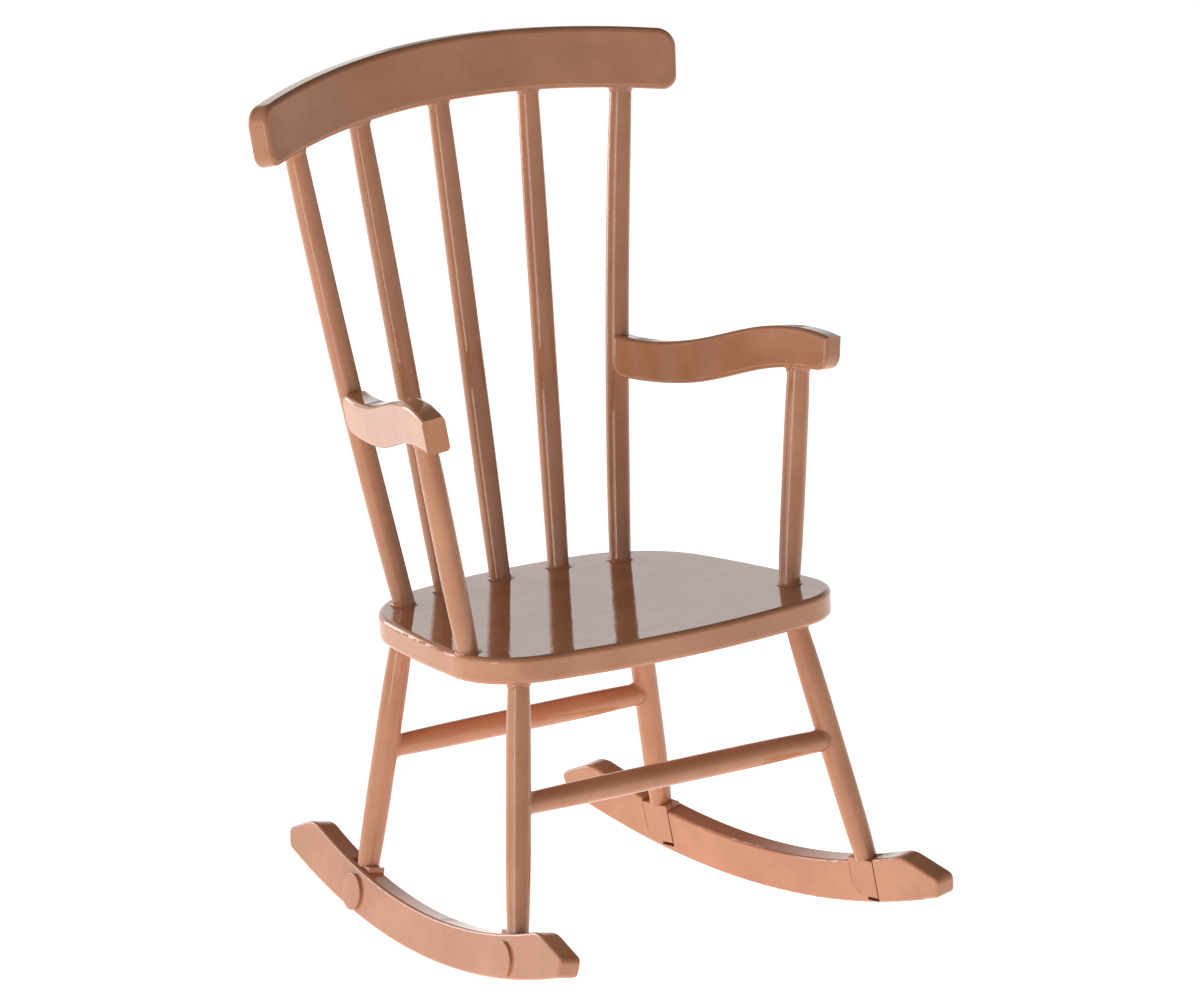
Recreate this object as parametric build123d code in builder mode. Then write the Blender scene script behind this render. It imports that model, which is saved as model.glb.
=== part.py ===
"""Miniature spindle-back rocking chair, cast and painted, in millimetres.

Frame: +X to the viewer's right as the chair faces the viewer, +Y to the back, +Z up.
The origin is on the floor, under the middle of the chair's box.

The chair is drawn in the chair plane, which is square to its seat: there the seat's top
is z = 0 and the centre spindle's foot stands on y = 0. That plane leans back by
rest_lean, which is how the chair stands when it balances on its rockers.
Left pieces are at -X and right pieces at +X.
"""
import os
from math import asin, atan2, cos, hypot, radians, sin, sqrt, tan

from build123d import *

# ---- stance ----
rest_lean = 6.0  # degrees that the seat leans back when the chair balances
frame_back = 21.24  # from the middle of the chair's box back to the centre spindle's foot

# ---- seat ----
seat_width = 57.5  # over the front corners, before they are rounded
seat_rear_width = 45.3  # over the rear corners, before they are rounded
seat_front = 41.9  # centre spindle to the middle of the front edge
seat_back = 4.6  # centre spindle to the middle of the rear edge
seat_offset = 1.5  # the seat is cast this far to the right of the back's middle
seat_front_bow = 4.5
seat_rear_bow = 4.0
seat_side_bow = 1.25
seat_thickness = 3.6
seat_front_corner = 9.6
seat_rear_corner = 15.5
seat_edge_round = 0.7

# ---- back ----
back_height = 63.2  # seat top to the crest rail's underside, along the centre spindle
back_rake = 7.8  # degrees that the centre spindle leans from square to the seat
outer_foot_inset = 5.7  # from the seat's rear corner in to an outer post's foot
outer_foot_y = 3.0  # ahead of the centre spindle's foot
inner_foot_outward = 0.435  # outward of halfway to the outer post's foot
inner_foot_y = 0.4
outer_head_inset = 7.0  # from the crest rail's end in to an outer post's head
inner_head_outward = 0.45  # outward of halfway to the outer post's head
post_kink = 0.8  # the outer posts bend back this far where the arms meet them
spindle_end_d = 2.8
spindle_body_d = 3.15

# ---- crest rail ----
crest_length = 65.0
crest_height = 8.2
crest_thickness = 3.2
crest_plan_radius = 75.0
crest_arch_radius = 142.0
crest_top_corner = 2.6
crest_low_corner = 1.8
crest_end_flare = 5.5  # degrees that the ends lean outward at the top
crest_wall = 0.2  # metal left on each side of a post's head in the rail
crest_edge_round = 0.7

# ---- arms ----
arm_thickness = 3.2
arm_level = 23.8  # seat top to the arm's underside, at its rear end
arm_depth = 5.4
arm_rise = 4.4  # the front of the arm above its rear
arm_length = 37.2  # from the outer post's axis
arm_start = 0.5  # ahead of the outer post's axis, where the arm is coped round it
arm_dip = 0.2  # how far the arm sags just ahead of the outer post
arm_lean = 8.0  # degrees that the arm leans outward at the top
arm_edge_round = 0.6
arm_nose_corner = 1.9
arm_nose_droop = 0.75  # how far the arm's top has fallen at the nose
arm_top_dip_place = 0.19  # where the arm's top sags, as a share of its length
arm_low_dip_place = 0.2
# The arm's double curve above and below: shares of its length, and of its rise there.
arm_top_curve = ((0.44, 0.32), (0.645, 0.8), (0.83, 1.0))
arm_low_curve = ((0.43, 0.19), (0.71, 0.84), (0.84, 1.0))

# ---- arm posts ----
arm_post_inset = 3.6  # from the seat's front corner in to an arm post's foot
arm_post_nose_setback = 5.97  # from the arm's nose back to an arm post's head
arm_post_splay = 4.0  # sideways, from the seat to the arm
arm_post_rake = 1.15  # backward, from the seat to the arm
arm_post_end_d = 2.8
arm_post_body_d = 3.2

# ---- legs ----
leg_drop = 34.7  # seat top to the middle of the rockers, square to the seat
front_leg_inset = 7.1  # from the seat's front corner in to a front leg's top
front_leg_setback = 5.15  # from the middle of the front edge back to a front leg's top
rear_leg_inset = 4.6  # from the seat's rear corner in to a rear leg's top
rear_leg_y = 3.9  # ahead of the centre spindle's foot
front_leg_splay = 5.95  # sideways, from the seat to the rocker
front_leg_rake = 5.25  # forward, from the seat to the rocker
rear_leg_splay = 5.45
rear_leg_rake = 3.7  # backward, from the seat to the rocker
leg_end_d = 2.85
leg_body_d = 3.3

# ---- stretchers ----
stretcher_share = 0.49  # how far down the legs the stretchers cross
stretcher_end_d = 2.8
stretcher_body_d = 3.25
stretcher_tenon_d = 1.5
stretcher_tenon_stop = 0.3  # the tenon stops this far from the leg's axis

# ---- rockers ----
rocker_thickness = 3.0
rocker_lean = 9.2  # degrees that the rockers lean inward at the top
rocker_sole_radius = 127.0
rocker_sole_drop = 7.85  # foot point to the sole's lowest point
rocker_sole_ahead = 1.83  # the sole's lowest point ahead of the middle of the feet
rocker_top_radius = 103.0
rocker_top_drop = 2.25
rocker_top_ahead = 1.5
rocker_rear = 40.2  # middle of the feet to the rear tip
rocker_rear_crown = 33.6  # middle of the feet to where the rear bevel starts
rocker_rear_tip_rise = 1.6
rocker_front = 36.6
rocker_front_crown = 29.4
rocker_front_tip_rise = -0.6
rocker_undercut = 0.6  # how far the sole ends short of each tip
rocker_crown_round = 5.0
rocker_tip_round = 1.0
rocker_edge_round = 0.4

# ---- feet let into the rockers ----
foot_width = 4.8
foot_thickness = 2.3
foot_proud = 0.05  # the foot stands this far out of the rocker's inner face
foot_rise = 0.15  # the foot's top above the rocker's top edge
foot_corner = 1.3
leg_sink = 0.05  # the leg's round end below the rocker's top edge
notch_floor = 1.0  # metal left under the notch
notch_gap = 0.15
relief_share = 0.45  # how much of the foot's width the relief under it takes, at its front
relief_depth = 0.5

# ---- rivets ----
rivet_head_d = 4.9
rivet_head_height = 0.4
rivet_head_round = 0.15
rivet_shank_d = 1.6
rivet_depth = 1.2  # the shank's reach into the foot
rivet_margin = 0.12  # from the head to the rocker's sole

# ---- fits ----
taper_share = 0.2  # of a bar's free length, where the taper from each end stops
neck_share = 0.85  # how much of a bar's swelling is reached there
fit_gap = 0.04  # around every tenon and shank, and where one bar is coped to another
seat_web = 0.7  # metal left between the sockets in the seat's top and its underside
crest_socket_depth = 2.6
arm_tenon_d = 1.6
arm_tenon_length = 2.0
arm_tenon_root = 2.8  # the tenon's length inside its post, under the arm
arm_post_overrun = 1.8  # an arm post's bar runs on this far past the arm's underside to be coped

socket_depth = (seat_thickness - seat_web) / 2  # in the seat
spindle_head_d = crest_thickness - 2 * crest_wall
outer_foot_x = seat_rear_width / 2 - outer_foot_inset
inner_foot_x = outer_foot_x / 2 + inner_foot_outward
outer_head_x = crest_length / 2 - outer_head_inset
inner_head_x = outer_head_x / 2 + inner_head_outward
front_leg_x = seat_width / 2 - front_leg_inset
front_leg_y = seat_front - front_leg_setback
rear_leg_x = seat_rear_width / 2 - rear_leg_inset
front_foot_x = front_leg_x + front_leg_splay
front_foot_y = front_leg_y + front_leg_rake
rear_foot_x = rear_leg_x + rear_leg_splay
rear_foot_y = rear_leg_y - rear_leg_rake
arm_post_x = seat_width / 2 - arm_post_inset
SIDES = {"left": -1, "right": 1}
ENDS = ("front", "rear")
CHAIR_AXES = (Vector(1, 0, 0), Vector(0, 0, 1))


def leaning_plane(origin):
    """The chair plane at a point of the room."""
    lean = radians(rest_lean)
    return Plane(origin=origin, x_dir=(1, 0, 0), z_dir=(0, sin(lean), cos(lean)))


def rocker_plane_on(base, side):
    """The middle plane of one rocker: x forward along it, y up, z towards -X."""
    toe = atan2(front_foot_x - rear_foot_x, front_foot_y - rear_foot_y)
    lean = radians(rocker_lean)
    middle = Vector(
        side * (front_foot_x + rear_foot_x) / 2,
        -(front_foot_y + rear_foot_y) / 2,
        -leg_drop,
    )
    forward = Vector(side * sin(toe), -cos(toe), 0)
    outward = Vector(side * cos(toe) * cos(lean), sin(toe) * cos(lean), sin(lean))
    return plane_on(base, middle, forward, outward * -side)


def plane_on(base, origin, x_dir, z_dir):
    """A plane given in another plane's own axes."""
    start = base.from_local_coords(origin)
    along = base.from_local_coords(origin + x_dir) - start
    square = base.from_local_coords(origin + z_dir) - start
    return Plane(origin=start, x_dir=along, z_dir=square)


def sole_height(base):
    """The height in the room of the sole's lowest point, on its rounded inner edge."""
    plane = rocker_plane_on(base, SIDES["right"])
    centre = plane.from_local_coords(
        Vector(
            rocker_sole_ahead,
            rocker_sole_radius - rocker_sole_drop,
            rocker_thickness / 2 - rocker_edge_round,
        )
    )
    steepness = hypot(plane.x_dir.Z, plane.y_dir.Z)
    return centre.Z - (rocker_sole_radius - rocker_edge_round) * steepness - rocker_edge_round


chair = leaning_plane((0, frame_back, -sole_height(leaning_plane((0, 0, 0)))))


def room(point):
    """A point of the chair plane, in the room."""
    return chair.from_local_coords(point)


def between(start, end, share):
    return start + (end - start) * share


def along(start, end):
    return (end - start).normalized()


# ---- round bars ----
def turned_bar(start, end, end_d, body_d, plain_start=0.0, plain_end=0.0, gap=0.0, head_d=None):
    """A round bar between two points of the room, thinner at its ends than in its body.

    The plain lengths at its ends don't taper, and a gap makes it thicker all round.
    Where head_d is given, it is the diameter at the far end.
    """
    head_r = (head_d or end_d) / 2 + gap
    length = (end - start).length
    body_r = body_d / 2 + gap
    end_r = end_d / 2 + gap
    run = length - plain_start - plain_end
    neck_r = between(end_r, body_r, neck_share)
    near = (plain_start + run * taper_share, neck_r)
    middle = (plain_start + run / 2, body_r)
    far = (plain_start + run * (1 - taper_share), between(head_r, body_r, neck_share))
    direction = along(start, end)
    across = direction.cross(Vector(1, 1, 0)).normalized()
    with BuildPart() as bar:
        with BuildSketch(Plane(origin=start, x_dir=direction, z_dir=across)):
            with BuildLine():
                Spline((plain_start, end_r), near, middle, far, (length - plain_end, head_r))
                Polyline(
                    *([(length - plain_end, head_r)] if plain_end else []),
                    (length, head_r),
                    (length, 0),
                    (0, 0),
                    (0, end_r),
                    *([(plain_start, end_r)] if plain_start else []),
                )
            make_face()
        revolve(axis=Axis(start, direction))
    return bar.part


def rod(start, end, diameter):
    """A plain round rod between two points of the room."""
    with BuildPart() as plain:
        with BuildSketch(Plane(origin=start, z_dir=along(start, end))):
            Circle(diameter / 2)
        extrude(amount=(end - start).length)
    return plain.part


# ---- axes of the back ----
def crest_point(x, up):
    """A point of the crest rail's middle surface, up from its underside along its rake."""
    set_forward = crest_plan_radius - sqrt(crest_plan_radius**2 - x**2)
    arch_drop = crest_arch_radius - sqrt(crest_arch_radius**2 - x**2)
    rise = back_height - arch_drop + up
    rake = radians(back_rake)
    return Vector(
        x,
        rise * sin(rake) - set_forward * cos(rake),
        rise * cos(rake) + set_forward * sin(rake),
    )


def spindle_line(foot_x, foot_y, head_x):
    """A spindle's axis from the seat's top to the crest rail's underside."""
    return Vector(foot_x, -foot_y, 0), crest_point(head_x, 0)


def socketed(line, start_depth, end_depth):
    """An axis of the chair plane made longer into its sockets, in the room."""
    start, end = line
    direction = along(start, end)
    return room(start - direction * start_depth), room(end + direction * end_depth)


def post_line(side):
    return spindle_line(side * outer_foot_x, outer_foot_y, side * outer_head_x)


def post_knee(side):
    """The outer post's bend, level with the middle of the arm's rear end."""
    foot, head = post_line(side)
    share = (arm_level + arm_depth / 2) / head.Z
    return between(foot, head, share) + Vector(0, post_kink, 0)


def post_spine(side):
    """The outer post's three axis points in the room: foot, bend and head."""
    foot, head = post_line(side)
    knee = post_knee(side)
    start = socketed((foot, knee), socket_depth, 0)[0]
    end = socketed((knee, head), 0, crest_socket_depth)[1]
    return start, room(knee), end


def outer_post_solid(side, gap=0.0):
    """An outer post: a round bar bent back a little where the arm meets it."""
    with BuildPart() as post:
        with BuildLine() as spine:
            axis = Spline(*post_spine(side))
        for share, diameter in (
            (0, spindle_end_d),
            (taper_share, spindle_neck_d(spindle_end_d)),
            (1 / 2, spindle_body_d),
            (1 - taper_share, spindle_neck_d(spindle_head_d)),
            (1, spindle_head_d),
        ):
            with BuildSketch(Plane(origin=axis @ share, z_dir=axis % share)):
                Circle(diameter / 2 + gap)
        sweep(path=spine.line, multisection=True)
    return post.part


def spindle_neck_d(end_d):
    """A spindle's diameter where its taper from one end stops."""
    return between(end_d, spindle_body_d, neck_share)


def inner_spindle_lines():
    return {
        "left": spindle_line(-inner_foot_x, inner_foot_y, -inner_head_x),
        "centre": spindle_line(0, 0, 0),
        "right": spindle_line(inner_foot_x, inner_foot_y, inner_head_x),
    }


# ---- axes of the legs ----
def sole_at(ahead):
    """The height of the rocker's sole in the rocker's plane."""
    run = ahead - rocker_sole_ahead
    return rocker_sole_radius - rocker_sole_drop - sqrt(rocker_sole_radius**2 - run**2)


def top_at(ahead):
    """The height of the rocker's top edge in the rocker's plane."""
    run = ahead - rocker_top_ahead
    return rocker_top_radius - rocker_top_drop - sqrt(rocker_top_radius**2 - run**2)


def foot_ahead(end):
    """Where a foot stands along the rocker, from the middle of the feet."""
    half = hypot(front_foot_x - rear_foot_x, front_foot_y - rear_foot_y) / 2
    return half if end == "front" else -half


def rocker_plane(side):
    return rocker_plane_on(chair, side)


def foot_inset():
    """From the rocker's middle plane inward to the middle of the foot's thickness."""
    return rocker_thickness / 2 + foot_proud - foot_thickness / 2


def leg_ends(side, end):
    """A leg's axis in the room, from the seat's underside to its round end at the rocker."""
    if end == "front":
        top = Vector(side * front_leg_x, -front_leg_y, -seat_thickness)
    else:
        top = Vector(side * rear_leg_x, -rear_leg_y, -seat_thickness)
    ahead = foot_ahead(end)
    foot = Vector(ahead, top_at(ahead) - leg_sink, side * foot_inset())
    return room(top), rocker_plane(side).from_local_coords(foot)


def leg_bar(side, end, gap=0.0):
    top, foot = leg_ends(side, end)
    start = top - along(top, foot) * socket_depth
    return turned_bar(start, foot, leg_end_d, leg_body_d, socket_depth, 0, gap)


def stretcher_ends(end):
    """A stretcher's axis, from the left leg's axis to the right leg's."""
    points = []
    for side in SIDES.values():
        top, foot = leg_ends(side, end)
        points.append(between(top, foot, stretcher_share))
    return points


def stretcher_tenon(end, diameter, stop):
    """The rod that runs through a stretcher and into both legs."""
    left, right = stretcher_ends(end)
    direction = along(left, right)
    return rod(left + direction * stop, right - direction * stop, diameter)


# ---- axes of the arm posts ----
def arm_post_reach():
    """From the outer post's axis forward to an arm post's head, along the arm."""
    return arm_length - arm_post_nose_setback


def arm_flare(side):
    """The angle by which an arm opens outward towards the front, over its post's head."""
    knee = post_knee(side)
    lean_run = (arm_level + arm_rise - knee.Z) * tan(radians(arm_lean))
    outward_run = arm_post_x + arm_post_splay - side * knee.X
    reach = hypot(arm_post_reach(), lean_run)
    return asin(outward_run / reach) - atan2(lean_run, arm_post_reach())


def arm_post_line(side):
    """An arm post's axis, from the seat's top to the arm's underside."""
    knee = post_knee(side)
    flare = arm_flare(side)
    lean_run = (arm_level + arm_rise - knee.Z) * tan(radians(arm_lean))
    head_y = knee.Y - arm_post_reach() * cos(flare) + lean_run * sin(flare)
    foot = Vector(side * arm_post_x, head_y - arm_post_rake, 0)
    head = foot + Vector(side * arm_post_splay, arm_post_rake, arm_level + arm_rise)
    return foot, head


def arm_plane(side):
    """The middle plane of an arm: x forward from the outer post's axis, y up, z towards -X."""
    knee = post_knee(side)
    lean = radians(arm_lean)
    flare = arm_flare(side)
    forward = Vector(side * sin(flare), -cos(flare), 0)
    outward = Vector(side * cos(flare) * cos(lean), sin(flare) * cos(lean), -sin(lean))
    up = Vector(side * cos(flare) * sin(lean), sin(flare) * sin(lean), cos(lean))
    origin = knee - up * (arm_level + arm_depth / 2)
    return plane_on(chair, origin, forward, outward * -side)


def seat_blank():
    """The seat's slab with rounded corners and edges."""
    half_front = seat_width / 2
    half_rear = seat_rear_width / 2
    front_y = seat_front_bow - seat_front
    rear_y = seat_back - seat_rear_bow
    bulge_x = (half_front + half_rear) / 2 + seat_side_bow
    bulge_y = (front_y + rear_y) / 2
    with BuildPart() as slab:
        with BuildSketch(plane_on(chair, Vector(seat_offset, 0, 0), *CHAIR_AXES)) as outline:
            with BuildLine():
                ThreePointArc((-half_front, front_y), (0, -seat_front), (half_front, front_y))
                ThreePointArc((half_front, front_y), (bulge_x, bulge_y), (half_rear, rear_y))
                ThreePointArc((half_rear, rear_y), (0, seat_back), (-half_rear, rear_y))
                ThreePointArc((-half_rear, rear_y), (-bulge_x, bulge_y), (-half_front, front_y))
            make_face()
            fillet(outline.vertices().group_by(Axis.Y)[0], radius=seat_front_corner)
            fillet(outline.vertices().group_by(Axis.Y)[-1], radius=seat_rear_corner)
        extrude(amount=-seat_thickness)
        fillet(slab.faces().filter_by(chair).edges(), radius=seat_edge_round)
    return slab.part


def inner_spindle_solid(line, gap=0.0):
    start, end = socketed(line, socket_depth, crest_socket_depth)
    return turned_bar(
        start,
        end,
        spindle_end_d,
        spindle_body_d,
        socket_depth,
        crest_socket_depth,
        gap,
        spindle_head_d,
    )


def back_bars(gap):
    """All five bars of the back, a gap thicker, to cut their sockets."""
    bars = [inner_spindle_solid(line, gap) for line in inner_spindle_lines().values()]
    return bars + [outer_post_solid(side, gap) for side in SIDES.values()]


def make_seat():
    """The seat with a socket for each spindle, arm post and leg."""
    with BuildPart() as seat:
        add(seat_blank())
        for bar in back_bars(fit_gap):
            add(bar, mode=Mode.SUBTRACT)
        for side in SIDES.values():
            add(arm_post_bar(side, fit_gap), mode=Mode.SUBTRACT)
            for end in ENDS:
                add(leg_bar(side, end, fit_gap), mode=Mode.SUBTRACT)
    return seat


def make_inner_spindle(line):
    with BuildPart() as spindle:
        add(inner_spindle_solid(line))
    return spindle


def make_outer_post(side):
    with BuildPart() as post:
        add(outer_post_solid(side))
    return post


def crest_blank():
    """The crest rail: a board bent round the sitter's back and arched along its length."""
    half = crest_length / 2
    spread = asin((half + crest_height) / crest_plan_radius)
    arch_drop = crest_arch_radius - sqrt(crest_arch_radius**2 - half**2)
    outside = crest_plan_radius + crest_thickness / 2
    inside = crest_plan_radius - crest_thickness / 2
    rake = radians(back_rake)
    up = Vector(0, sin(rake), cos(rake))
    forward = Vector(0, -cos(rake), sin(rake))
    centre = crest_point(0, 0)
    across = Vector(1, 0, 0)
    tall = crest_height + arch_drop
    with BuildPart() as rail:
        with BuildSketch(plane_on(chair, centre - up * 2 * arch_drop, across, up)):
            with BuildLine():
                ends = [
                    (radius * sin(turn), radius * cos(turn) - crest_plan_radius)
                    for radius, turn in (
                        (outside, -spread),
                        (outside, spread),
                        (inside, spread),
                        (inside, -spread),
                    )
                ]
                ThreePointArc(ends[0], (0, crest_thickness / 2), ends[1])
                Line(ends[1], ends[2])
                ThreePointArc(ends[2], (0, -crest_thickness / 2), ends[3])
                Line(ends[3], ends[0])
            make_face()
        extrude(amount=tall + 2 * arch_drop)
        wide = half + crest_height
        low = sqrt(crest_arch_radius**2 - wide**2) - crest_arch_radius
        with BuildSketch(plane_on(chair, centre, across, forward)):
            with BuildLine():
                ThreePointArc((-wide, low), (0, 0), (wide, low))
                Line((wide, low), (wide, low + crest_height))
                ThreePointArc((wide, low + crest_height), (0, crest_height), (-wide, low + crest_height))
                Line((-wide, low + crest_height), (-wide, low))
            make_face()
        extrude(amount=crest_plan_radius / 2, both=True, mode=Mode.INTERSECT)
        for side in SIDES.values():
            split(bisect_by=crest_end_plane(side), keep=Keep.BOTTOM)
        end_faces = rail.faces().sort_by(Axis.X)
        end_edges = [face.edges().sort_by(Axis.Z) for face in (end_faces[0], end_faces[-1])]
        low_edges = [edges[0] for edges in end_edges]
        high_edges = [edges[-1] for edges in end_edges]
        fillet(high_edges, radius=crest_top_corner)
        low_again = [
            min(rail.edges(), key=lambda edge, at=old.center(): (edge.center() - at).length)
            for old in low_edges
        ]
        fillet(low_again, radius=crest_low_corner)
        broad_faces = rail.faces().sort_by(SortBy.AREA)[-2:]
        fillet(broad_faces.edges(), radius=crest_edge_round)
    return rail.part


def crest_end_plane(side):
    """The plane of one end of the crest rail, facing outward and a little down."""
    at = crest_point(side * crest_length / 2, crest_height / 2)
    turn = asin(crest_length / 2 / crest_plan_radius)
    rake = radians(back_rake)
    flare = radians(crest_end_flare)
    up = Vector(0, sin(rake), cos(rake))
    forward = Vector(0, -cos(rake), sin(rake))
    outward = Vector(side * cos(turn), 0, 0) + forward * sin(turn)
    inward = forward * cos(turn) - Vector(side * sin(turn), 0, 0)
    return plane_on(chair, at, inward, outward * cos(flare) - up * sin(flare))


def make_crest_rail():
    """The crest rail with a socket for each of the back's five bars."""
    with BuildPart() as rail:
        add(crest_blank())
        for bar in back_bars(fit_gap):
            add(bar, mode=Mode.SUBTRACT)
    return rail


def arm_blank(side):
    """The arm's board: a double curve that rises forward to a drooping nose."""
    base = arm_level
    crown = arm_level + arm_depth
    front = arm_level + arm_rise
    length = arm_length
    nose_low = (length, front)
    nose_high = (length, crown + arm_rise - arm_nose_droop)
    with BuildPart() as board:
        with BuildSketch(arm_plane(side)) as outline:
            with BuildLine():
                Spline(
                    (arm_start, crown),
                    (length * arm_top_dip_place, crown - arm_dip),
                    *[(length * far, crown + arm_rise * up) for far, up in arm_top_curve],
                    nose_high,
                )
                Line(nose_high, nose_low)
                Spline(
                    nose_low,
                    *[(length * far, base + arm_rise * up) for far, up in arm_low_curve[::-1]],
                    (length * arm_low_dip_place, base - arm_dip),
                    (arm_start, base),
                )
                Line((arm_start, base), (arm_start, crown))
            make_face()
            nose = plane_on(arm_plane(side), Vector(length, 0, 0), *CHAIR_AXES).origin
            by_nose = outline.vertices().sort_by_distance(nose)
            fillet(by_nose[:2], radius=arm_nose_corner)
        extrude(amount=arm_thickness / 2, both=True)
        side_edges = board.faces().filter_by(arm_plane(side)).edges()
        fillet(side_edges.filter_by(GeomType.LINE, reverse=True), radius=arm_edge_round)
    return board.part


def arm_tenon(side, gap=0.0):
    """The arm post's thin top end, which stands in the arm."""
    foot, head = arm_post_line(side)
    root = head - along(foot, head) * arm_tenon_root
    start, end = socketed((root, head), 0, arm_tenon_length)
    return rod(start, end + along(start, end) * gap, arm_tenon_d + 2 * gap)


def make_arm(side):
    with BuildPart() as arm:
        add(arm_blank(side))
        add(outer_post_solid(side, fit_gap), mode=Mode.SUBTRACT)
        add(arm_tenon(side, fit_gap), mode=Mode.SUBTRACT)
    return arm


def arm_post_bar(side, gap=0.0):
    """An arm post's round bar, running on into the arm that it is coped to."""
    start, end = socketed(arm_post_line(side), socket_depth, arm_post_overrun)
    return turned_bar(start, end, arm_post_end_d, arm_post_body_d, socket_depth, 0, gap)


def make_arm_post(side):
    with BuildPart() as post:
        add(arm_post_bar(side))
        add(arm_blank(side), mode=Mode.SUBTRACT)
        add(arm_tenon(side))
    return post


def rivet_centre(end):
    """A rivet's place in the rocker's plane, its head just above the sole."""
    ahead = foot_ahead(end)
    return ahead, sole_at(ahead) + rivet_head_d / 2 + rivet_margin


def rivet_shank(side, end, gap=0.0):
    """A rivet's shank, from the rocker's outer face into the foot."""
    ahead, height = rivet_centre(end)
    wall = rocker_thickness - (foot_thickness - foot_proud)
    plane = rocker_plane(side)
    outer = plane.from_local_coords(Vector(ahead, height, -side * rocker_thickness / 2))
    inner_z = -side * (rocker_thickness / 2 - wall - rivet_depth - gap)
    inner = plane.from_local_coords(Vector(ahead, height, inner_z))
    return rod(outer, inner, rivet_shank_d + 2 * gap)


def foot_block(side, end):
    """The flat foot at a leg's end, its lower rear corner cut off."""
    ahead = foot_ahead(end)
    floor = sole_at(ahead) + notch_floor
    rear = ahead - foot_width / 2
    front = ahead + foot_width / 2
    top = top_at(ahead) + foot_rise
    plane = rocker_plane(side).offset(side * foot_inset())
    with BuildPart() as block:
        with BuildSketch(plane):
            with BuildLine():
                Polyline(
                    (rear + foot_corner, floor),
                    (front, floor),
                    (front, top),
                    (rear, top),
                    (rear, floor + foot_corner),
                    close=True,
                )
            make_face()
        extrude(amount=foot_thickness / 2, both=True)
    return block.part


def make_leg(side, end):
    with BuildPart() as leg:
        add(leg_bar(side, end))
        add(foot_block(side, end))
        add(rivet_shank(side, end, fit_gap), mode=Mode.SUBTRACT)
        add(stretcher_hole(end), mode=Mode.SUBTRACT)
    return leg


def stretcher_hole(end):
    return stretcher_tenon(end, stretcher_tenon_d + 2 * fit_gap, stretcher_tenon_stop - fit_gap)


def make_stretcher(end):
    left, right = stretcher_ends(end)
    with BuildPart() as stretcher:
        add(turned_bar(left, right, stretcher_end_d, stretcher_body_d))
        for side in SIDES.values():
            add(leg_bar(side, end, fit_gap), mode=Mode.SUBTRACT)
        add(stretcher_tenon(end, stretcher_tenon_d, stretcher_tenon_stop))
    return stretcher


def rocker_blank(side):
    """A rocker's runner: two arcs, with bevelled tips."""
    rear_tip = (-rocker_rear, rocker_rear_tip_rise)
    rear_sole_x = rocker_undercut - rocker_rear
    rear_sole = (rear_sole_x, sole_at(rear_sole_x))
    rear_crown = (-rocker_rear_crown, top_at(-rocker_rear_crown))
    front_tip = (rocker_front, rocker_front_tip_rise)
    front_sole_x = rocker_front - rocker_undercut
    front_sole = (front_sole_x, sole_at(front_sole_x))
    front_crown = (rocker_front_crown, top_at(rocker_front_crown))
    with BuildPart() as runner:
        with BuildSketch(rocker_plane(side)) as outline:
            with BuildLine():
                Polyline(rear_sole, rear_tip, rear_crown)
                ThreePointArc(rear_crown, (rocker_top_ahead, -rocker_top_drop), front_crown)
                Polyline(front_crown, front_tip, front_sole)
                ThreePointArc(front_sole, (rocker_sole_ahead, -rocker_sole_drop), rear_sole)
            make_face()
            fillet(outline.vertices().sort_by(Axis.X)[2:4], radius=rocker_crown_round)
            corners = outline.vertices().sort_by(Axis.X)
            fillet([corners[0], corners[1], corners[-2], corners[-1]], radius=rocker_tip_round)
        extrude(amount=rocker_thickness / 2, both=True)
        fillet(runner.faces().filter_by(rocker_plane(side)).edges(), radius=rocker_edge_round)
    return runner.part


def rocker_notch(side, end):
    """The pocket for a foot, open at the rocker's top and inner face."""
    ahead = foot_ahead(end)
    floor = sole_at(ahead) + notch_floor
    depth = foot_thickness - foot_proud + fit_gap
    opening = rocker_thickness
    roof = top_at(ahead) + opening
    half = foot_width / 2 + notch_gap
    relief = ahead + foot_width * (0.5 - relief_share)
    back_wall = side * (rocker_thickness / 2 - depth)
    with BuildPart() as pocket:
        with BuildSketch(rocker_plane(side).offset(back_wall)):
            with BuildLine():
                Polyline(
                    (ahead - half + foot_corner, floor),
                    (relief, floor),
                    (relief, floor - relief_depth),
                    (ahead + half, floor - relief_depth),
                    (ahead + half, roof),
                    (ahead - half, roof),
                    (ahead - half, floor + foot_corner),
                    close=True,
                )
            make_face()
        extrude(amount=side * (depth + opening))
    return pocket.part


def make_rocker(side):
    with BuildPart() as rocker:
        add(rocker_blank(side))
        for end in ENDS:
            add(rocker_notch(side, end), mode=Mode.SUBTRACT)
            add(leg_bar(side, end, fit_gap), mode=Mode.SUBTRACT)
            add(rivet_shank(side, end, fit_gap), mode=Mode.SUBTRACT)
    return rocker


def rivet(side, end):
    """One rivet: a low round head on the rocker's outer face, and its shank."""
    plane = rocker_plane(side).offset(-side * rocker_thickness / 2)
    with BuildPart() as fastener:
        with BuildSketch(plane):
            with Locations(rivet_centre(end)):
                Circle(rivet_head_d / 2)
        extrude(amount=-side * rivet_head_height)
        flat_faces = fastener.faces().filter_by(plane).sort_by(Axis.X, reverse=side > 0)
        fillet(flat_faces[0].edges(), radius=rivet_head_round)
        add(rivet_shank(side, end))
    return fastener.part


def make_rivets():
    with BuildPart() as rivets:
        for side in SIDES.values():
            for end in ENDS:
                add(rivet(side, end))
    return rivets


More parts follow.
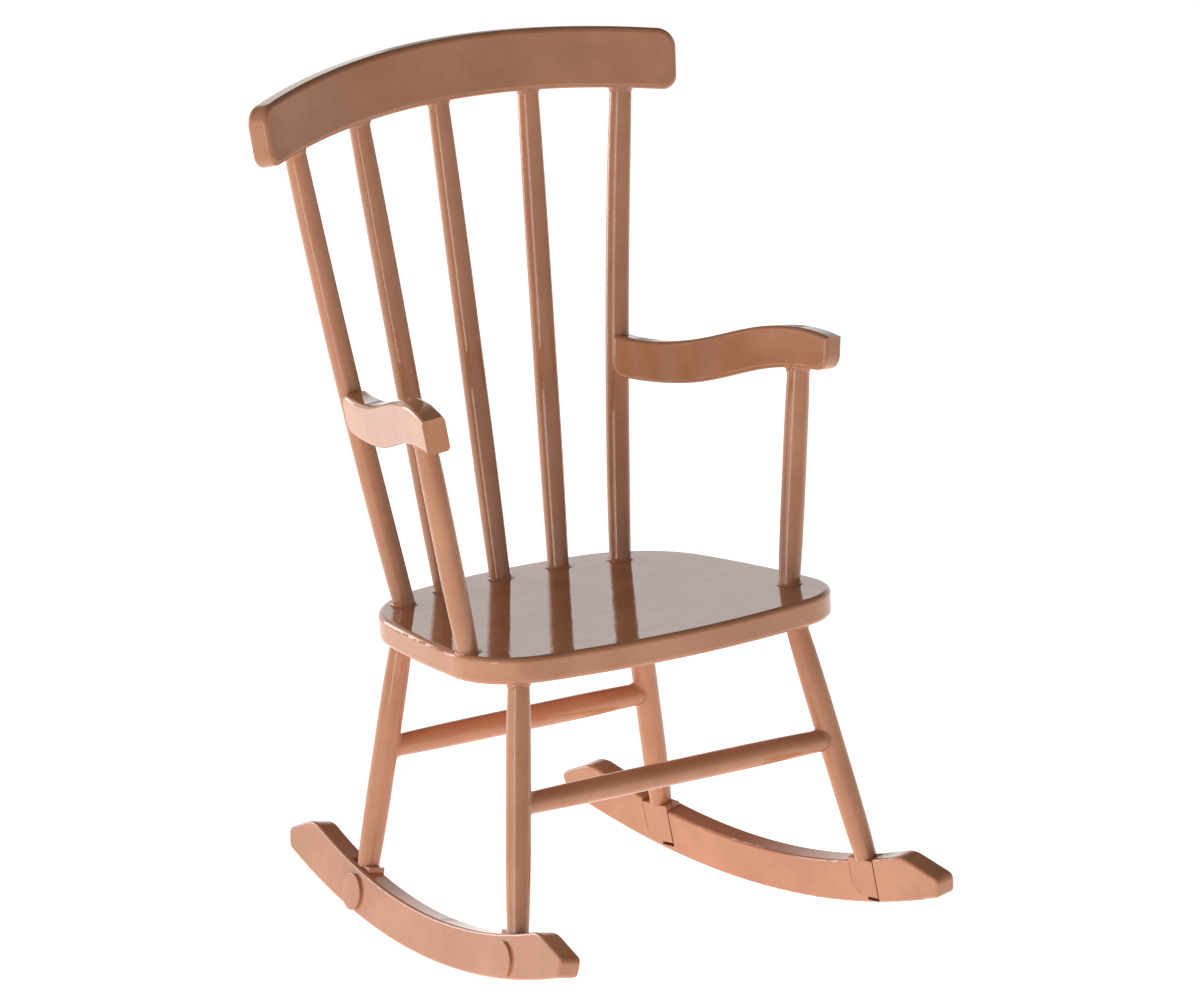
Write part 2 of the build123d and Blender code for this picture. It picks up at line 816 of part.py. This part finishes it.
def make_all():
    """Every piece by its node's name."""
    pieces = {"seat": make_seat(), "crest_rail": make_crest_rail()}
    for name, line in inner_spindle_lines().items():
        pieces[f"back_spindle_{name}"] = make_inner_spindle(line)
    for name, side in SIDES.items():
        pieces[f"outer_back_post_{name}"] = make_outer_post(side)
        pieces[f"arm_{name}"] = make_arm(side)
        pieces[f"arm_post_{name}"] = make_arm_post(side)
        pieces[f"rocker_{name}"] = make_rocker(side)
        for end in ENDS:
            pieces[f"{end}_leg_{name}"] = make_leg(side, end)
    for end in ENDS:
        pieces[f"{end}_stretcher"] = make_stretcher(end)
    pieces["rocker_rivets"] = make_rivets()
    return pieces


os.makedirs("parts", exist_ok=True)
for node, piece in make_all().items():
    piece.part.label = node
    export_step(piece.part, f"parts/{node}.step")
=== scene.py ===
"""Looks for the miniature rocking chair: glossy painted metal on a pale studio floor."""
import math
import random

import bpy
import numpy as np
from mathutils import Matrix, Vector
from mathutils.bvhtree import BVHTree


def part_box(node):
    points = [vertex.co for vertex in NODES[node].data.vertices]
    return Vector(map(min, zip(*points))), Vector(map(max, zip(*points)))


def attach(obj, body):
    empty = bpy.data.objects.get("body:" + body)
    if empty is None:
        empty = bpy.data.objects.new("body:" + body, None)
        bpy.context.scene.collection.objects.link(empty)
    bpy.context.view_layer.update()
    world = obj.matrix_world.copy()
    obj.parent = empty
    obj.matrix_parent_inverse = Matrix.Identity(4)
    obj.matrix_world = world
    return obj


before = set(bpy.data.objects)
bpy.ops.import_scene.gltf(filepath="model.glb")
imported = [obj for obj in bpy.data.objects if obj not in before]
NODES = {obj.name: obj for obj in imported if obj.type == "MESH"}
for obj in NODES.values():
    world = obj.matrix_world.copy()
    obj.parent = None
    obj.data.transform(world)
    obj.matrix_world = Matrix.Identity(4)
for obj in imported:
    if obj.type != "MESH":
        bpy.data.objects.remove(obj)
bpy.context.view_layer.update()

MM = 0.001

# ---- paint: colours ----
PAINT_LIGHT = (0.560, 0.252, 0.134)
PAINT_DEEP = (0.468, 0.198, 0.100)
# Painted shade: the colour that the crevices darken towards.
CREVICE_SHADE_COLOUR = (0.235, 0.078, 0.036)
SPECK_DARK = (0.090, 0.035, 0.020)
NIB_PALE = (0.640, 0.400, 0.290)
TONE_SPREAD = 0.03  # how far one piece's tone may be from another's
COLLAR_TONE = 0.97

# ---- paint: clouds of lighter and deeper colour ----
BROAD_CLOUD = 14 * MM
FINE_CLOUD = 3.2 * MM
FINE_SHARE = 0.35
CLOUD_LOW = 0.32
CLOUD_HIGH = 0.68

# ---- painted shade in the crevices ----
CREVICE_REACH = 1.1 * MM
CREVICE_OPEN = 0.62
CREVICE_SHUT = 0.12
CREVICE_SHADE_SHARE = 0.85
CREVICE_SAMPLES = 6

# ---- paint: pits and dust nibs, sized as shares of their cells ----
PIT_CELL = 2.3 * MM
PIT_RADIUS = 0.055
PIT_DARKNESS = 0.8
PIT_ROUGHNESS = 0.3
PIT_DEPTH = -0.45
NIB_CELL = 1.5 * MM
NIB_RADIUS = 0.085
NIB_PALENESS = 0.35
NIB_HEIGHT = 0.55
SPOT_CORE = 0.45  # the share of a spot's radius that is solid
SEAT_SPOTS = 0.28  # one cell in this share has a spot
BAR_SPOTS = 0.07
COLLAR_SPOTS = 0.06

# ---- paint: gloss and orange peel ----
PAINT_IOR = 1.52
GLOSS_PATCH = 6 * MM
GLOSS_PATCH_LOW = 0.3
GLOSS_PATCH_HIGH = 0.75
GLOSS_LOW = 0.035
GLOSS_HIGH = 0.09
WAVE_SIZE = 2.6 * MM
WAVE_HEIGHT = 0.40
PEEL_SIZE = 0.55 * MM
PEEL_HEIGHT = 0.07
BUMP_STRENGTH = 0.5
BUMP_DISTANCE = 0.09 * MM

# ---- paint collars at the joints ----
COLLAR_STEPS = 56
COLLAR_PROFILE = 7
COLLAR_WAVES = (1, 2, 3, 5)  # waves round a collar
COLLAR_WAVE_LOW = 0.04
COLLAR_WAVE_HIGH = 0.12
COLLAR_CATCH = 0.6  # the share of the width to look within, past the surface's edge
SINK = 0.06 * MM  # how far a collar's hidden edges lie inside the metal
# Each kind's height up its bar and its width over the surface.
COLLAR_SIZES = {
    "seat": (0.34 * MM, 0.42 * MM),
    "legs": (0.45 * MM, 0.40 * MM),
    "crest": (0.55 * MM, 0.45 * MM),
    "arms": (0.50 * MM, 0.40 * MM),
    "stretchers": (0.50 * MM, 0.34 * MM),
}
COLLAR_SEEDS = {"seat": 11, "legs": 31, "crest": 51, "arms": 71, "stretchers": 91}
COLLAR_PAINT_SEED = 7
NODE_PAINT_SEED = 100

# ---- where the bars are measured, just clear of what they stand in ----
SEAT_CLEAR = 1.5 * MM
SEAT_STEP = 0.8 * MM
CREST_CLEAR = 6.0 * MM
ARM_CLEAR = 0.2 * MM
STRETCHER_CLEAR = 4.0 * MM
BAR_STEP = 1.2 * MM
SKEW = Vector((0.31, 0.17, 0.94))  # any direction that no bar runs along

# ---- floor ----
FLOOR_SIDE = 2.0
FLOOR_COLOUR = (0.80, 0.79, 0.78)
FLOOR_GLOW_COLOUR = (1.0, 0.995, 0.99)
FLOOR_ROUGHNESS = 0.9
FLOOR_NEAR = 0.22
FLOOR_FAR = 0.75
FLOOR_GLOW_NEAR = 1.10
FLOOR_GLOW_FAR = 0.30

# ---- light: place, aim, width, height and brightness of each box ----
LIGHT_BOXES = {
    "left_box": ((-0.60, -0.12, 0.16), (0, 0, 0.05), 0.50, 0.32, 0.86),
    "left_strip": ((-0.28, -0.095, 0.06), (0, 0, 0.05), 0.05, 0.18, 3.4),
    "rear_left_box": ((-0.13, 0.34, 0.07), (-0.03, 0, 0.06), 0.17, 0.13, 3.8),
}
ROOM_COLOUR = (1, 0.985, 0.97)
# How bright the room is along one axis of a direction: from, to, and the levels there.
ROOM_BY_HEIGHT = (0.50, 0.08, 0.14, 1.40)
ROOM_BY_SIDE = (0.9, -0.9, 0.92, 1.18)
ROOM_BY_DEPTH = (-0.9, 0.4, 0.45, 1.0)

# ---- view ----
VIEW_AZIMUTH = -33.94
VIEW_ELEVATION = 18.54
VIEW_ROLL = 0.32
VIEW_TARGET = Vector((12.58, 16.60, 50.48)) * MM
VIEW_DISTANCE = 3.235
VIEW_LENS = 741.6
VIEW_REACH = 20
SENSOR = 36.0

SIDES = {"left": -1, "right": 1}
ENDS = ("front", "rear")
SPINDLES = ["back_spindle_left", "back_spindle_centre", "back_spindle_right"]
POSTS = ["outer_back_post_left", "outer_back_post_right"]
ARM_POSTS = ["arm_post_left", "arm_post_right"]
LEGS = ["front_leg_left", "front_leg_right", "rear_leg_left", "rear_leg_right"]


# ---- node helpers ----
def node(tree, kind, inputs=None, **settings):
    """Adds a shader node, sets its properties, then its input values or links."""
    made = tree.nodes.new(kind)
    for key, value in settings.items():
        setattr(made, key, value)
    for key, value in (inputs or {}).items():
        if isinstance(value, bpy.types.NodeSocket):
            tree.links.new(value, made.inputs[key])
        else:
            made.inputs[key].default_value = value
    return made


def maths(tree, operation, first, second=0.0, third=0.0):
    inputs = {0: first, 1: second, 2: third}
    return node(tree, "ShaderNodeMath", inputs, operation=operation).outputs[0]


def spread(tree, value, low, high, to_low=0.0, to_high=1.0):
    """Maps a value from one range to another, smoothly and clamped."""
    return node(
        tree,
        "ShaderNodeMapRange",
        {
            "Value": value,
            "From Min": low,
            "From Max": high,
            "To Min": to_low,
            "To Max": to_high,
        },
        interpolation_type="SMOOTHSTEP",
    ).outputs["Result"]


def noise(tree, where, size, detail=2.0, roughness=0.5):
    """Noise whose features are about size metres across."""
    return node(
        tree,
        "ShaderNodeTexNoise",
        {"Vector": where, "Scale": 1 / size, "Detail": detail, "Roughness": roughness},
    ).outputs["Fac"]


def spots(tree, where, size, radius, share):
    """A mask of small round spots: one cell in share has one."""
    cells = node(tree, "ShaderNodeTexVoronoi", {"Vector": where, "Scale": 1 / size})
    chosen = node(tree, "ShaderNodeSeparateColor", {"Color": cells.outputs["Color"]})
    near = spread(tree, cells.outputs["Distance"], radius, radius * SPOT_CORE)
    kept = maths(tree, "GREATER_THAN", chosen.outputs["Red"], 1 - share)
    return maths(tree, "MULTIPLY", near, kept)


def colour(rgb, scale=1.0):
    return tuple(channel * scale for channel in rgb) + (1.0,)


def blend_colours(tree, share, first, second):
    """Mixes two colours or colour sockets by a share."""
    made = node(tree, "ShaderNodeMix", data_type="RGBA")
    factor, first_colour, second_colour = made.inputs[0], made.inputs[6], made.inputs[7]
    for socket, value in ((factor, share), (first_colour, first), (second_colour, second)):
        if isinstance(value, bpy.types.NodeSocket):
            tree.links.new(value, socket)
        else:
            socket.default_value = value
    return made.outputs[2]


# ---- paint ----
def paint_colour(tree, where, tone, pits, nibs):
    """The paint's colour: clouds, painted shade in the crevices, dark pits and pale nibs."""
    broad = noise(tree, where, BROAD_CLOUD, 3.0)
    fine = noise(tree, where, FINE_CLOUD, 4.0, 0.6)
    fine = maths(tree, "MULTIPLY", fine, FINE_SHARE)
    share = maths(tree, "MULTIPLY_ADD", broad, 1 - FINE_SHARE, fine)
    share = spread(tree, share, CLOUD_LOW, CLOUD_HIGH)
    base = blend_colours(tree, share, colour(PAINT_DEEP, tone), colour(PAINT_LIGHT, tone))
    # Painted shade: the colour darkens in crevices where ambient occlusion finds the surface
    # hemmed in.
    crevice = node(
        tree,
        "ShaderNodeAmbientOcclusion",
        {"Distance": CREVICE_REACH},
        samples=CREVICE_SAMPLES,
    ).outputs["AO"]
    crevice_shade = spread(tree, crevice, CREVICE_OPEN, CREVICE_SHUT, 0.0, CREVICE_SHADE_SHARE)
    base = blend_colours(tree, crevice_shade, base, colour(CREVICE_SHADE_COLOUR))
    dark = maths(tree, "MULTIPLY", pits, PIT_DARKNESS)
    base = blend_colours(tree, dark, base, colour(SPECK_DARK))
    pale = maths(tree, "MULTIPLY", nibs, NIB_PALENESS)
    return blend_colours(tree, pale, base, colour(NIB_PALE))


def paint_relief(tree, where, pits, nibs):
    """The paint's surface: slow waves, orange peel, raised nibs and sunken pits."""
    wave = maths(tree, "MULTIPLY", noise(tree, where, WAVE_SIZE), WAVE_HEIGHT)
    height = maths(tree, "MULTIPLY_ADD", noise(tree, where, PEEL_SIZE), PEEL_HEIGHT, wave)
    height = maths(tree, "MULTIPLY_ADD", nibs, NIB_HEIGHT, height)
    height = maths(tree, "MULTIPLY_ADD", pits, PIT_DEPTH, height)
    return node(
        tree,
        "ShaderNodeBump",
        {"Height": height, "Strength": BUMP_STRENGTH, "Distance": BUMP_DISTANCE},
    ).outputs["Normal"]


def paint(name, seed, tone, specks):
    """Glossy dip paint over cast metal, with orange peel, dust nibs and painted shade in the
    crevices.

    tone scales the colour, and specks is the share of cells that have a spot.
    """
    material = bpy.data.materials.new(name)
    material.use_nodes = True
    tree = material.node_tree
    tree.nodes.clear()
    rng = random.Random(seed)
    shift = [rng.uniform(-1, 1) for _ in range(3)]
    coordinates = node(tree, "ShaderNodeTexCoord").outputs["Object"]
    where = node(
        tree, "ShaderNodeMapping", {"Vector": coordinates, "Location": shift}
    ).outputs["Vector"]
    pits = spots(tree, where, PIT_CELL, PIT_RADIUS, specks)
    nibs = spots(tree, where, NIB_CELL, NIB_RADIUS, specks)
    patches = noise(tree, where, GLOSS_PATCH, 3.0)
    roughness = spread(
        tree, patches, GLOSS_PATCH_LOW, GLOSS_PATCH_HIGH, GLOSS_LOW, GLOSS_HIGH
    )
    rough_pits = maths(tree, "MULTIPLY", pits, PIT_ROUGHNESS)
    surface = node(
        tree,
        "ShaderNodeBsdfPrincipled",
        {
            "Base Color": paint_colour(tree, where, tone, pits, nibs),
            "Roughness": maths(tree, "ADD", roughness, rough_pits),
            "Normal": paint_relief(tree, where, pits, nibs),
            "IOR": PAINT_IOR,
        },
    )
    output = node(tree, "ShaderNodeOutputMaterial")
    tree.links.new(surface.outputs["BSDF"], output.inputs["Surface"])
    return material


def cover(obj, material):
    """Gives an object one material in every slot."""
    if not obj.material_slots:
        obj.data.materials.append(material)
    for held in obj.material_slots:
        held.material = material


def paint_nodes():
    for i, name in enumerate(sorted(NODES)):
        tone = 1.0 + random.Random(i).uniform(-TONE_SPREAD, TONE_SPREAD)
        specks = SEAT_SPOTS if name == "seat" else BAR_SPOTS
        cover(NODES[name], paint("paint_" + name, NODE_PAINT_SEED + i, tone, specks))


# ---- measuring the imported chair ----
def triangles(name):
    """A CAD node's corners and its triangles' corner numbers."""
    mesh = NODES[name].data
    mesh.calc_loop_triangles()
    corners = np.empty(len(mesh.vertices) * 3)
    mesh.vertices.foreach_get("co", corners)
    faces = np.empty(len(mesh.loop_triangles) * 3, np.int32)
    mesh.loop_triangles.foreach_get("vertices", faces)
    return corners.reshape(-1, 3), faces.reshape(-1, 3)


def section(name, origin, normal):
    """The middle and mean radius of the outline where a plane cuts a CAD node."""
    corners, faces = triangles(name)
    heights = (corners - np.array(origin)) @ np.array(normal)
    middle, length_sum, cuts = np.zeros(3), 0.0, []
    for face in faces[(heights[faces].min(1) < 0) & (heights[faces].max(1) > 0)]:
        ends = []
        for first, second in ((0, 1), (1, 2), (2, 0)):
            low, high = heights[face[first]], heights[face[second]]
            if (low < 0) != (high < 0):
                share = low / (low - high)
                crossing = corners[face[first]] * (1 - share) + corners[face[second]] * share
                ends.append(crossing)
        if len(ends) == 2:
            length = np.linalg.norm(ends[1] - ends[0])
            middle += (ends[0] + ends[1]) / 2 * length
            length_sum += length
            cuts.append((ends[0] + ends[1]) / 2)
    middle /= length_sum
    radius = float(np.mean(np.linalg.norm(np.array(cuts) - middle, axis=1)))
    return Vector(middle), radius


def bar_axis(name, axis, near, far):
    """A bar's middle at near, its direction from near to far, and its radius at near.

    axis is the room axis the bar is cut across, and near and far are places along it.
    """
    normal = Vector([1.0 if i == axis else 0.0 for i in range(3)])
    start, _ = section(name, normal * near, normal)
    end, _ = section(name, normal * far, normal)
    direction = (end - start).normalized()
    _, radius = section(name, start, direction)
    return start, direction, radius


def surface_of(name):
    corners, faces = triangles(name)
    return BVHTree.FromPolygons(
        [tuple(corner) for corner in corners],
        [tuple(int(i) for i in face) for face in faces],
    )


# ---- paint collars ----
def collar_rings(bar, target, height, width, seed):
    """Columns of points for paint pooled where a bar meets a surface.

    The bar is its middle, its direction towards the surface, and its radius. There is a
    column for each step round the bar: it starts up the bar and ends on the surface, and
    three more points inside the metal close the shape.
    """
    start, direction, radius = bar
    rng = random.Random(seed)
    waves = [
        (rng.uniform(0, math.tau), rng.uniform(COLLAR_WAVE_LOW, COLLAR_WAVE_HIGH), k)
        for k in COLLAR_WAVES
    ]
    across = direction.cross(SKEW).normalized()
    upward = direction.cross(across).normalized()
    columns = []
    for step in range(COLLAR_STEPS):
        angle = math.tau * step / COLLAR_STEPS
        radial = across * math.cos(angle) + upward * math.sin(angle)
        swell = 1 + sum(a * math.sin(k * angle + p) for p, a, k in waves)
        foot, _, _, _ = target.ray_cast(start + radial * radius, direction)
        if foot is None:
            foot, _, _, _ = target.find_nearest(start + radial * radius)
        on_bar = foot - direction * height * swell
        reach = radius + width * swell
        out, out_normal, _, _ = target.ray_cast(start + radial * reach, direction)
        if out is None or (out - foot).length > 3 * width:
            caught = foot + radial * width * swell * COLLAR_CATCH
            out, out_normal, _, _ = target.find_nearest(caught)
        if out_normal.dot(direction) > 0:
            out_normal = -out_normal
        column = []
        for i in range(COLLAR_PROFILE):
            t = i / (COLLAR_PROFILE - 1)
            column.append(on_bar * (1 - t) ** 2 + foot * 2 * t * (1 - t) + out * t**2)
        column.append(out - out_normal * SINK)
        column.append(foot - radial * SINK + direction * SINK)
        column.append(on_bar - radial * SINK)
        columns.append(column)
    return columns


def ring_mesh(name, groups, material):
    """One object from several collars."""
    corners, faces = [], []
    for columns in groups:
        base, rows = len(corners), len(columns[0])
        for column in columns:
            corners.extend(column)
        for i in range(len(columns)):
            here = base + i * rows
            there = base + (i + 1) % len(columns) * rows
            for k in range(rows):
                m = (k + 1) % rows
                faces.append((here + k, there + k, there + m, here + m))
    mesh = bpy.data.meshes.new(name)
    mesh.from_pydata([tuple(corner) for corner in corners], [], faces)
    mesh.validate()
    mesh.shade_smooth()
    obj = bpy.data.objects.new(name, mesh)
    bpy.context.scene.collection.objects.link(obj)
    cover(obj, material)
    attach(obj, "root")


def upright_bar(name, near, step):
    """A standing bar, measured at a height and a step further towards its surface."""
    return bar_axis(name, 2, near, near + step)


def collar_places():
    """For each kind of collar, the bars and the surfaces that they meet."""
    seat = surface_of("seat")
    crest = surface_of("crest_rail")
    seat_low, seat_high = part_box("seat")
    above = seat_high.z + SEAT_CLEAR
    below = seat_low.z - SEAT_CLEAR
    places = {kind: [] for kind in COLLAR_SIZES}
    for name in SPINDLES + POSTS + ARM_POSTS:
        places["seat"].append((upright_bar(name, above, -SEAT_STEP), seat))
    for name in LEGS:
        places["legs"].append((upright_bar(name, below, SEAT_STEP), seat))
    for name in SPINDLES + POSTS:
        _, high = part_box(name)
        bar = upright_bar(name, high.z - CREST_CLEAR, BAR_STEP)
        places["crest"].append((bar, crest))
    for side, sign in SIDES.items():
        arm_low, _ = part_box("arm_" + side)
        bar = upright_bar("arm_post_" + side, arm_low.z - ARM_CLEAR, BAR_STEP)
        places["arms"].append((bar, surface_of("arm_" + side)))
        for end in ENDS:
            _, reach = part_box(f"{end}_stretcher")
            near = sign * (reach.x - STRETCHER_CLEAR)
            bar = bar_axis(f"{end}_stretcher", 0, near, near + sign * BAR_STEP)
            places["stretchers"].append((bar, surface_of(f"{end}_leg_{side}")))
    return places


def collars():
    """Paint collars where the bars meet the seat, crest rail, arms and legs."""
    for kind, places in collar_places().items():
        height, width = COLLAR_SIZES[kind]
        rings = [
            collar_rings(bar, target, height, width, COLLAR_SEEDS[kind] + i)
            for i, (bar, target) in enumerate(places)
        ]
        name = f"paint_collars_{kind}"
        ring_mesh(name, rings, paint(name, COLLAR_PAINT_SEED, COLLAR_TONE, COLLAR_SPOTS))


# ---- stage ----
def floor():
    """A pale floor that glows near the chair and is dimmer far away."""
    side = FLOOR_SIDE
    mesh = bpy.data.meshes.new("studio_floor")
    mesh.from_pydata(
        [(-side, -side, 0), (side, -side, 0), (side, side, 0), (-side, side, 0)],
        [],
        [(0, 1, 2, 3)],
    )
    obj = bpy.data.objects.new("studio_floor", mesh)
    bpy.context.scene.collection.objects.link(obj)
    material = bpy.data.materials.new("pale_floor")
    material.use_nodes = True
    tree = material.node_tree
    surface = tree.nodes["Principled BSDF"]
    surface.inputs["Base Color"].default_value = colour(FLOOR_COLOUR)
    surface.inputs["Roughness"].default_value = FLOOR_ROUGHNESS
    surface.inputs["Specular IOR Level"].default_value = 0.0
    surface.inputs["Emission Color"].default_value = colour(FLOOR_GLOW_COLOUR)
    position = node(tree, "ShaderNodeNewGeometry").outputs["Position"]
    away = node(tree, "ShaderNodeVectorMath", {0: position}, operation="LENGTH")
    glow = spread(
        tree,
        away.outputs["Value"],
        FLOOR_NEAR,
        FLOOR_FAR,
        FLOOR_GLOW_NEAR,
        FLOOR_GLOW_FAR,
    )
    tree.links.new(glow, surface.inputs["Emission Strength"])
    obj.data.materials.append(material)


def soft_box(name, place, aim, width, height, radiance):
    """A rectangular light with the given brightness of its face."""
    light = bpy.data.lights.new(name, "AREA")
    light.shape = "RECTANGLE"
    light.size = width
    light.size_y = height
    light.energy = radiance * math.pi * width * height
    obj = bpy.data.objects.new(name, light)
    bpy.context.scene.collection.objects.link(obj)
    obj.location = place
    towards = Vector(aim) - Vector(place)
    obj.rotation_euler = towards.to_track_quat("-Z", "Y").to_euler()
    obj.visible_camera = False


def room_light():
    """Dim overhead, brighter towards the horizon and to the left."""
    world = bpy.data.worlds.new("studio")
    bpy.context.scene.world = world
    world.use_nodes = True
    tree = world.node_tree
    tree.nodes.clear()
    direction = node(tree, "ShaderNodeTexCoord").outputs["Generated"]
    parts = node(tree, "ShaderNodeSeparateXYZ", {"Vector": direction})
    by_height = spread(tree, parts.outputs["Z"], *ROOM_BY_HEIGHT)
    by_side = spread(tree, parts.outputs["X"], *ROOM_BY_SIDE)
    by_depth = spread(tree, parts.outputs["Y"], *ROOM_BY_DEPTH)
    level = maths(tree, "MULTIPLY", maths(tree, "MULTIPLY", by_height, by_side), by_depth)
    background = node(
        tree, "ShaderNodeBackground", {"Color": colour(ROOM_COLOUR), "Strength": level}
    )
    output = node(tree, "ShaderNodeOutputWorld")
    tree.links.new(background.outputs[0], output.inputs["Surface"])


def camera():
    azimuth, elevation = math.radians(VIEW_AZIMUTH), math.radians(VIEW_ELEVATION)
    back = Vector(
        (
            math.sin(azimuth) * math.cos(elevation),
            -math.cos(azimuth) * math.cos(elevation),
            math.sin(elevation),
        )
    )
    data = bpy.data.cameras.new("view")
    data.lens = VIEW_LENS
    data.sensor_width = SENSOR
    data.clip_end = VIEW_REACH
    obj = bpy.data.objects.new("view", data)
    bpy.context.scene.collection.objects.link(obj)
    obj.location = VIEW_TARGET + back * VIEW_DISTANCE
    obj.rotation_euler = back.to_track_quat("Z", "Y").to_euler()
    obj.rotation_euler.rotate_axis("Z", math.radians(VIEW_ROLL))
    bpy.context.scene.camera = obj


paint_nodes()
collars()
floor()
room_light()
for box_name, box_light in LIGHT_BOXES.items():
    soft_box(box_name, *box_light)
camera()
bpy.context.scene.view_settings.view_transform = "Standard"
bpy.context.scene.view_settings.look = "None"
